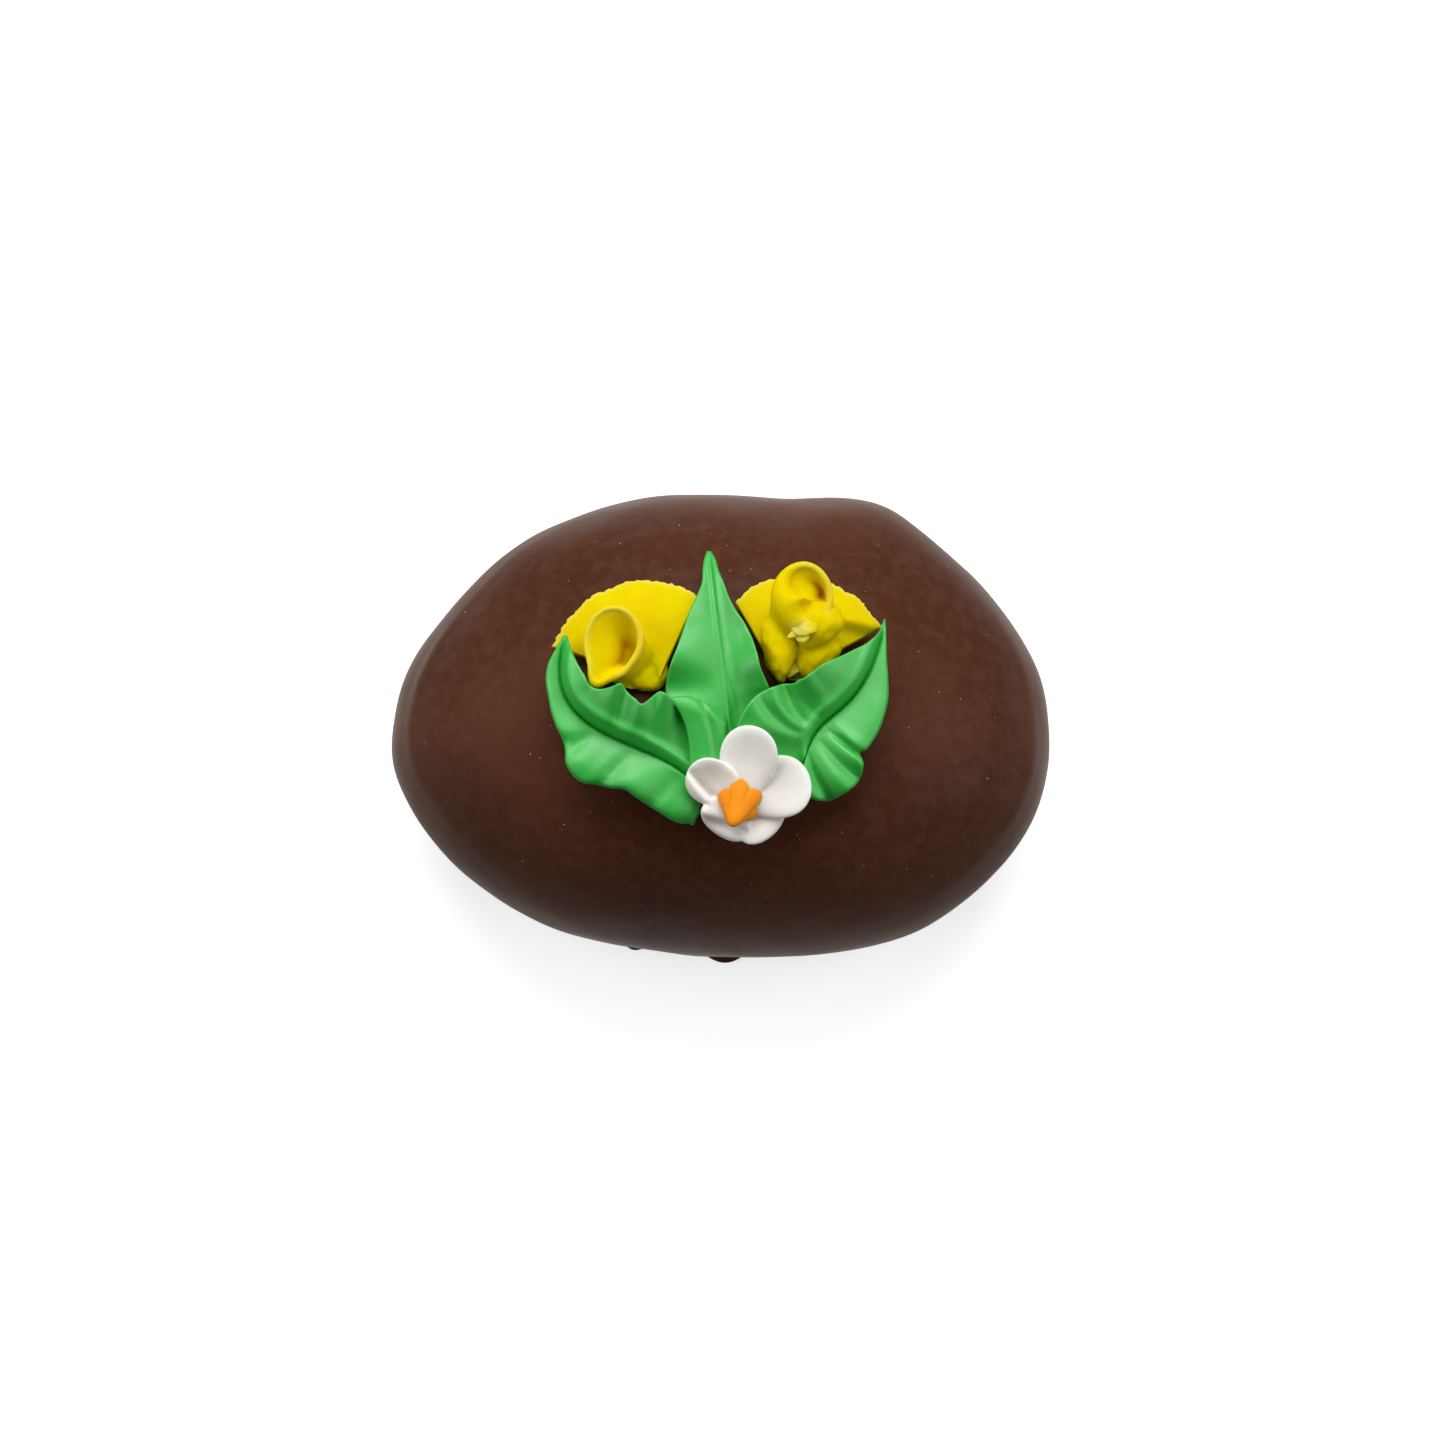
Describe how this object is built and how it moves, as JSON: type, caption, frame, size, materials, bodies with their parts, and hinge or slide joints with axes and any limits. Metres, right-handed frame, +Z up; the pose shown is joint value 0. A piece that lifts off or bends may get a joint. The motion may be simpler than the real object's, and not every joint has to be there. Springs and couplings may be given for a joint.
{
  "type": "chocolate egg",
  "caption": "Hand-dipped chocolate egg lying on its flat base, with royal icing leaves, rolled rosebuds and an open blossom on top.",
  "frame": {"origin": "on the ground under the middle of the egg", "axes": "+Z up, +X along the egg, -Y towards the front, where the blossom is"},
  "size_m": [0.0996, 0.07, 0.0505],
  "materials": {
    "chocolate": "dark milk chocolate coating, satin, with fine pale specks",
    "green_icing": "dried royal icing, green, satin",
    "yellow_icing": "dried royal icing, yellow, matt",
    "white_icing": "dried royal icing, white, matt",
    "orange_icing": "dried royal icing, orange, matt"
  },
  "bodies": {
    "root": {"egg": "chocolate", "leaf_left": "green_icing", "leaf_middle": "green_icing", "leaf_right": "green_icing", "rosebud_left": "yellow_icing", "rosebud_right": "yellow_icing", "blossom": "white_icing", "blossom_centre": "orange_icing"}
  },
  "joints": []
}
